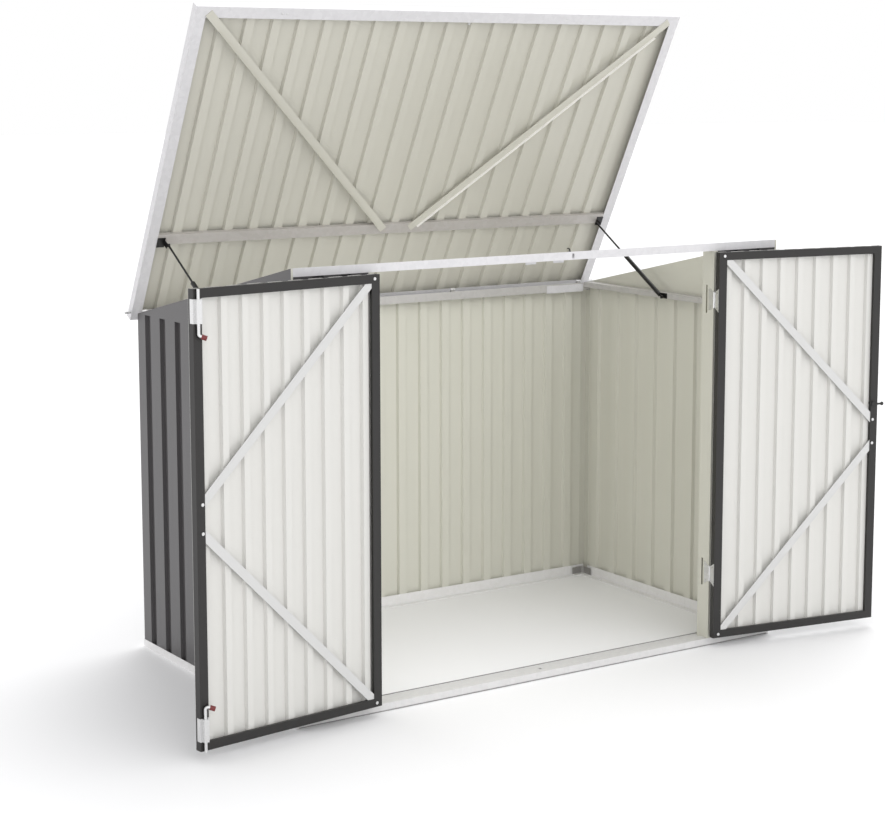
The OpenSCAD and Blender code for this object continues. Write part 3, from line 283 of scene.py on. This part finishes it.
# %% Bright zinc
RUB_MM, RUB_ROUGH = 6, 0.07

def plated_steel(name, hex_colour, rough):
    material, tree, shader = new_material(name)
    place = add_node(tree, "ShaderNodeTexCoord")
    rub = add_node(tree, "ShaderNodeTexNoise", None,
                   {"Vector": place.outputs["Object"], "Scale": 1 / (RUB_MM * MM), "Detail": 4.0})
    sheen = add_node(tree, "ShaderNodeMapRange", None,
                     {"Value": rub.outputs["Fac"], "From Min": NOISE_LOW, "From Max": NOISE_HIGH,
                      "To Min": rough - RUB_ROUGH, "To Max": rough + RUB_ROUGH})
    tree.links.new(sheen.outputs["Result"], shader.inputs["Roughness"])
    shader.inputs["Base Color"].default_value = linear(hex_colour)
    shader.inputs["Metallic"].default_value = 1.0
    return material

bright_zinc = plated_steel("bright_zinc_plating", "#dcdcdc", 0.32)
for name in ("post_head_plates", "post_hinge_leaves", "door_hinge_pins", "lid_rod_holders", "hook_stud",
             "left_door_leaves", "right_door_leaves", "left_door_rivets", "right_door_rivets", "bolt_guides",
             "top_bolt", "bottom_bolt", "lid_hinge_rod", "lid_keeper"):
    give(name, bright_zinc)
print("fittings plated")

# %% [markdown]
# ## Black parts and red caps
# The gas struts, their brackets and the lock hook are black painted steel. The latch is moulded
# ABS with a fine grain. The bolt ends are dipped in soft PVC, which is glossy and a deep red.

# %% Black paint, ABS and dipped PVC
def solid_finish(name, hex_colour, rough, grain_mm, grain_depth, coat=0.0):
    material, tree, shader = new_material(name)
    place = add_node(tree, "ShaderNodeTexCoord")
    grain = add_node(tree, "ShaderNodeTexNoise", None,
                     {"Vector": place.outputs["Object"], "Scale": 1 / (grain_mm * MM), "Detail": 3.0})
    bump = add_node(tree, "ShaderNodeBump", None,
                    {"Height": grain.outputs["Fac"], "Strength": 0.3, "Distance": grain_depth * MM})
    tree.links.new(bump.outputs["Normal"], shader.inputs["Normal"])
    shader.inputs["Base Color"].default_value = linear(hex_colour)
    shader.inputs["Roughness"].default_value = rough
    shader.inputs["Coat Weight"].default_value = coat
    return material

black_paint = solid_finish("black_stoving_paint", "#0d0c0c", 0.3, 3, 0.05)
black_abs = solid_finish("black_abs", "#1b1a19", 0.5, 1.5, 0.08)
red_pvc = solid_finish("red_dipped_pvc", "#6a080a", 0.28, 4, 0.1, coat=0.3)
for name in ("strut_cylinder_left", "strut_cylinder_right", "strut_rod_left", "strut_rod_right",
             "lid_strut_brackets", "strut_lower_studs", "lid_hook"):
    give(name, black_paint)
for name in ("latch_cam", "latch_handle"):
    give(name, black_abs)
for name in ("top_bolt_cap", "bottom_bolt_cap"):
    give(name, red_pvc)
print("black parts and caps done")

# %% [markdown]
# ## Folding a strip
# All added pieces but the rivet heads are strips that a press brake would fold, so one function
# folds them.
# It draws the section with a point that is pulled along from corner to corner, pulls that line out
# to the strip's length, and then gives the sheet its thickness and broken edges with two modifiers.
# A box would need its faces cut away again, so this way is shorter and follows the real work.

# %% Fold, place and finish a strip
EDGE_PARTS = 5

def fold_strip(name, section, length, thickness, material, place, body):
    bpy.ops.object.select_all(action="DESELECT")
    bpy.ops.mesh.primitive_plane_add(size=1, location=(0, 0, 0))
    piece = bpy.context.active_object
    piece.name = name
    bpy.ops.object.mode_set(mode="EDIT")
    bpy.ops.mesh.merge(type="CENTER")
    bpy.ops.transform.translate(value=(0, section[0][0], section[0][1]))
    for a, b in zip(section, section[1:]):
        bpy.ops.mesh.extrude_region_move(
            TRANSFORM_OT_translate={"value": (0, b[0] - a[0], b[1] - a[1])})
    bpy.ops.mesh.select_all(action="SELECT")
    bpy.ops.mesh.extrude_region_move(TRANSFORM_OT_translate={"value": (length, 0, 0)})
    bpy.ops.mesh.select_all(action="SELECT")
    bpy.ops.mesh.normals_make_consistent(inside=False)
    bpy.ops.object.mode_set(mode="OBJECT")
    solid = piece.modifiers.new("sheet thickness", "SOLIDIFY")
    solid.thickness = thickness
    solid.offset = 0
    broken = piece.modifiers.new("broken edges", "BEVEL")
    broken.width = thickness / EDGE_PARTS
    broken.segments = 1
    for modifier in (solid.name, broken.name):
        bpy.ops.object.modifier_apply(modifier=modifier)
    piece.matrix_world = place
    bpy.ops.object.transform_apply(location=True, rotation=True, scale=True)
    piece.data.materials.append(material)
    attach(piece, body)
    return piece

def along(start, end, up):
    """Place whose x runs from start to end and whose z is nearest to up."""
    x = (end - start).normalized()
    y = up.cross(x).normalized()
    turn = Matrix((x, y, x.cross(y))).transposed().to_4x4()
    return Matrix.Translation(start) @ turn

print("edges are broken by 1 part in", EDGE_PARTS)

# %% [markdown]
# ## Where the lid and the doors stand
# The added pieces are described on a closed door or along the lid, as they would be fitted on the
# bench. A matrix for each then carries them to the pose in which the shed is shown.

# %% Places of the lid and the doors
ROD_Y, ROD_Z = 558.9, 1177.2
PIN_X, PIN_Y = 679.75, -548.5
DOOR_FACE_Y, DOOR_BACK_Y = -543.4, -518.4

def mm(x, y, z):
    return Vector((x, y, z)) * MM

lid_place = Matrix.Translation(mm(0, ROD_Y, ROD_Z)) @ Matrix.Rotation(-LID_OPEN, 4, "X")

def door_place(side):
    angle = RIGHT_OPEN if side > 0 else LEFT_OPEN
    return (Matrix.Translation(mm(side * PIN_X, PIN_Y, 0)) @ Matrix.Rotation(side * angle, 4, "Z")
            @ Matrix.Translation(mm(-side * PIN_X, -PIN_Y, 0)))

print("lid at", tuple(lid_place.translation), "doors at", tuple(door_place(1).translation))

# %% [markdown]
# ## Stiffening flanges of the lid's braces
# Each of the lid's two slanting braces is an angle: a flat that lies on the frame and a flange
# that stands off it along one edge. The flat is in the construction model. The flange ends before
# the front rail, so that it clears the top bar when the lid shuts. The left flange is coated as its
# flat is. The right one is painted a pale zinc grey, a painted highlight for its face in the light.

# %% Lid brace flanges
BRACE_OUT, BRACE_IN = (935, -1132.3), (55, -292.5)
BRACE_HALF = 14
BRACE_LOW = -9.3
FLANGE_H, FLANGE_T = 10, 1.5
FLANGE_FROM, FLANGE_TO = 75, 1190
# The right flange's pale grey is a painted highlight, the light on its lit face.
flange_highlight_paint = galvanised("painted_highlight_flange", "#eceae6", "#f0eeea", metallic=0.0, rough=0.35)

for side in (-1, 1):
    outer = mm(side * BRACE_OUT[0], BRACE_OUT[1], BRACE_LOW)
    inner = mm(side * BRACE_IN[0], BRACE_IN[1], BRACE_LOW)
    run = (inner - outer).normalized()
    off = run.cross(Vector((0, 0, side))) * (BRACE_HALF - FLANGE_T / 2) * MM
    start = outer + run * FLANGE_FROM * MM + off
    end = outer + run * FLANGE_TO * MM + off
    section = [(0, 0), (0, -FLANGE_H * MM)]
    finish = lid_strip if side < 0 else flange_highlight_paint
    fold_strip(f"lid_brace_flange_{'left' if side < 0 else 'right'}", section, (end - start).length,
               FLANGE_T * MM, finish, lid_place @ along(start, end, Vector((0, 0, 1))), "lid")
print("flange runs", round((end - start).length / MM), "mm")

# %% [markdown]
# ## Webs of the door braces
# A door brace is an angle: one web reaches down to the crests of the ribs and carries the sheet.
# The other edge is open, and the hollows under it between the ribs show as a broken dark line. The
# four braces are the same strip turned end for end, so on the left door the web is on the side of
# the hinges, and on the right door on the free side. It ends 0.3 mm over the crests.

# %% Door brace webs
BRACE_ENDS = (((658, 1371), (28, 763)), ((658, 47), (28, 678)))
DOOR_BRACE_HALF = 13.5
BRACE_SUNK, RIB_IN = 4, 12.8
DOOR_BRACE_Y = DOOR_BACK_Y - BRACE_SUNK
RIB_CREST_Y = DOOR_FACE_Y + RIB_IN
WEB_T, WEB_GAP = 1.2, 0.3
WEB_X, WEB_Z = (45, 645), (65, 1353)

def web_span(a, b):
    """Part of the line from a to b that lies inside the frame, as two shares of its length."""
    low, high = 0.0, 1.0
    for axis, (near, far) in ((0, WEB_X), (1, WEB_Z)):
        ends = sorted(((limit - a[axis]) / (b[axis] - a[axis]) for limit in (near, far)))
        low, high = max(low, ends[0]), min(high, ends[1])
    return low, high

for side, body in ((-1, "left_door"), (1, "right_door")):
    for k, (hinge_end, free_end) in enumerate(BRACE_ENDS):
        a, b = Vector(hinge_end), Vector(free_end)
        across = Vector((-(b - a).y, (b - a).x)).normalized() * (DOOR_BRACE_HALF - WEB_T / 2)
        if (across.x > 0) != (side < 0):
            across = -across
        low, high = web_span(a + across, b + across)
        one, two = (a + across).lerp(b + across, low), (a + across).lerp(b + across, high)
        start = mm(side * one.x, DOOR_BRACE_Y, one.y)
        end = mm(side * two.x, DOOR_BRACE_Y, two.y)
        depth = DOOR_BRACE_Y - RIB_CREST_Y - WEB_GAP
        fold_strip(f"{body}_brace_web_{'lower' if k else 'upper'}", [(0, 0), (0, depth * MM)],
                   (end - start).length, WEB_T * MM, brace_strip,
                   door_place(side) @ along(start, end, Vector((0, -1, 0))), body)
print("webs are", round(depth, 1), "mm deep")

# %% [markdown]
# ## Splices and corner brackets
# The back top rail is spliced near both ends, where a short plate lies on its inner face. In the
# back corners of the base a bracket joins the two rails: one strip, folded twice, that stands on
# edge. Turning the fold's length upwards lets the same function make it.

# %% Splice plates and brackets
SPLICE_X, SPLICE_Y, SPLICE_Z = (740, 915), 499.2, 1143
SPLICE_H, SPLICE_T = 29, 1.2
BRACKET_LEG, BRACKET_FOLD, BRACKET_T = 44, 7, 1.5
BRACKET_X, BRACKET_Y, BRACKET_Z, BRACKET_H = 943, 522, 3, 27
bracket_zinc = galvanised("galvanised_bracket", "#8f8d8a", "#979592", metallic=0.2)

for side in (-1, 1):
    label = "left" if side < 0 else "right"
    ends = sorted(side * x for x in SPLICE_X)
    start, end = (mm(x, SPLICE_Y, SPLICE_Z) for x in ends)
    fold_strip("rail_splice_" + label, [(0, 0), (0, SPLICE_H * MM)], (end - start).length,
               SPLICE_T * MM, lid_zinc, along(start, end, Vector((0, 0, 1))), "body")
    plan = [(BRACKET_X - BRACKET_FOLD - BRACKET_LEG, BRACKET_Y), (BRACKET_X - BRACKET_FOLD, BRACKET_Y),
            (BRACKET_X, BRACKET_Y - BRACKET_FOLD), (BRACKET_X, BRACKET_Y - BRACKET_FOLD - BRACKET_LEG)]
    upright = Matrix.Translation(mm(0, 0, BRACKET_Z)) @ Matrix(
        ((0, 1, 0, 0), (0, 0, 1, 0), (1, 0, 0, 0), (0, 0, 0, 1)))
    fold_strip("base_bracket_" + label, [(side * x * MM, y * MM) for x, y in plan], BRACKET_H * MM,
               BRACKET_T * MM, bracket_zinc, upright, "body")
print("splices and brackets made")

# %% [markdown]
# ## Painted shade lines on the threshold
# Two thin dark strips are painted shade: they draw the shadow lines along the threshold's two long
# edges. One lies along the foot of the front face. The other stands up along the inner edge, as
# high as the front part.

# %% Threshold shade lines
SHADE_LINE_X, SHADE_LINE_T, SHADE_LINE_OUT = 955, 0.6, 0.4
FOOT_LOW, FOOT_HIGH = 0.3, 3.8
THRESHOLD_Y = (-544, -464)
THRESHOLD_TOP, THRESHOLD_STEP = 26, 3
shade_lines = {
    "foot": (THRESHOLD_Y[0] - SHADE_LINE_OUT, FOOT_LOW, FOOT_HIGH),
    "inner": (THRESHOLD_Y[1] - SHADE_LINE_OUT, THRESHOLD_TOP - THRESHOLD_STEP, THRESHOLD_TOP),
}

# Each strip is a thin dark sheet laid where the threshold's edge shadow falls.
for label, (y, low, high) in shade_lines.items():
    fold_strip("threshold_shade_line_" + label, [(y * MM, low * MM), (y * MM, high * MM)], 2 * SHADE_LINE_X * MM,
               SHADE_LINE_T * MM, threshold_shade_paint, Matrix.Translation(mm(-SHADE_LINE_X, 0, 0)), "body")
print("threshold hems made")

# %% [markdown]
# ## Rivets of the lid's front rail
# Three blind rivets show on the lid's front rail. A head starts as a disc that is raised in two
# steps. Its top face is drawn in, and a bevel rounds it.

# %% Rivet heads
RIVET_X, RIVET_Y, RIVET_Z = (-672, -654, 470), -1134.8, -6.8
RIVET_R, RIVET_H, RIVET_SIDES = 4, 1.2, 24
RIVET_DRAW_IN, RIVET_EDGE = 0.6, 0.15

for k, x in enumerate(RIVET_X):
    bpy.ops.object.select_all(action="DESELECT")
    bpy.ops.mesh.primitive_circle_add(vertices=RIVET_SIDES, radius=RIVET_R * MM, fill_type="NGON")
    head = bpy.context.active_object
    head.name = f"lid_rail_rivet_{k}"
    bpy.ops.object.mode_set(mode="EDIT")
    bpy.ops.mesh.select_all(action="SELECT")
    for half in range(2):
        bpy.ops.mesh.extrude_region_move(TRANSFORM_OT_translate={"value": (0, 0, -RIVET_H / 2 * MM)})
    bpy.ops.transform.resize(value=(RIVET_DRAW_IN, RIVET_DRAW_IN, 1))
    bpy.ops.mesh.select_all(action="SELECT")
    bpy.ops.mesh.normals_make_consistent(inside=False)
    bpy.ops.object.mode_set(mode="OBJECT")
    round_off = head.modifiers.new("rounded rim", "BEVEL")
    round_off.width = RIVET_EDGE * MM
    round_off.segments = 2
    bpy.ops.object.modifier_apply(modifier=round_off.name)
    head.matrix_world = lid_place @ Matrix.Translation(mm(x, RIVET_Y, RIVET_Z))
    bpy.ops.object.transform_apply(location=True, rotation=True, scale=True)
    head.data.materials.append(bright_zinc)
    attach(head, "lid")
print(len(RIVET_X), "rivet heads")

# %% [markdown]
# ## Floor
# A sheet of white studio paint, so wide that no edge comes into view.

# %% Floor
FLOOR_SIZE = 120

bpy.ops.mesh.primitive_plane_add(size=FLOOR_SIZE, location=(0, 0, 0))
floor = bpy.context.active_object
floor.name = "studio_floor"
floor_material, floor_tree, floor_shader = new_material("white_floor_paint")
floor_shader.inputs["Base Color"].default_value = linear("#f4f4f5")
floor_shader.inputs["Roughness"].default_value = 0.9
floor_shader.inputs["Specular IOR Level"].default_value = 0.1
floor.data.materials.append(floor_material)
print("floor at z", floor.location.z)

# %% [markdown]
# ## Light
# A white surrounding light and three soft lamps. The key stands at the back right, so that its
# shade falls to the front left. A very wide fill comes from the front, and a small panel inside the
# shed opens up the back and draws the right wall's ribs. The panel stays clear of every sheet,
# because a lamp that cuts into one leaves a bright dot outside. A sun needs only its aim.

# %% World and lamps
scene = bpy.context.scene
scene.world = bpy.data.worlds.new("studio_white")
scene.world.use_nodes = True
sky = scene.world.node_tree.nodes["Background"]
sky.inputs["Color"].default_value = linear("#ffffff")
sky.inputs["Strength"].default_value = 1.0
scene.view_settings.view_transform = "Standard"

def add_lamp(kind, name, place, aim, energy):
    bpy.ops.object.light_add(type=kind, location=place)
    lamp = bpy.context.active_object
    lamp.name = name
    lamp.data.energy = energy
    lamp.rotation_euler = Vector(aim).to_track_quat("-Z", "Y").to_euler()
    return lamp

key = add_lamp("SUN", "soft_key", (4, 3, 6), (-0.55, -0.45, -1.0), 1.0)
key.data.angle = math.radians(40)
fill = add_lamp("SUN", "front_fill", (2, -6, 2), (0.05, 1.0, -0.25), 0.7)
fill.data.angle = math.radians(70)
panel = add_lamp("AREA", "inside_panel", (-0.72, -0.33, 0.85), (1.0, 0.05, -0.3), 2.9)
panel.data.size = 0.35
panel.visible_camera = False
print("lamps:", [lamp.name for lamp in (key, fill, panel)])

# %% [markdown]
# ## Camera
# The place, turn and focal length of the camera were worked out from the shed's straight edges in
# the photograph. A small shift puts the optical centre where that picture has it.

# %% Camera
CAMERA_PLACE = (-3.8208, -5.7161, 1.9713)
CAMERA_TILT, CAMERA_TURN = 82.18, -33.70
FILM_MM, LENS_MM = 36, 81.25
SHIFT_X, SHIFT_Y = -0.01716, -0.0758
VIEW_END = 400

bpy.ops.object.camera_add(location=CAMERA_PLACE,
                          rotation=(math.radians(CAMERA_TILT), 0, math.radians(CAMERA_TURN)))
camera = bpy.context.active_object
camera.name = "product_camera"
camera.data.sensor_width = FILM_MM
camera.data.lens = LENS_MM
camera.data.shift_x = SHIFT_X
camera.data.shift_y = SHIFT_Y
camera.data.clip_end = VIEW_END
scene.camera = camera
print("camera", tuple(camera.location))

# %% [markdown]
# ## Finish

# %% Finish
print("finished")
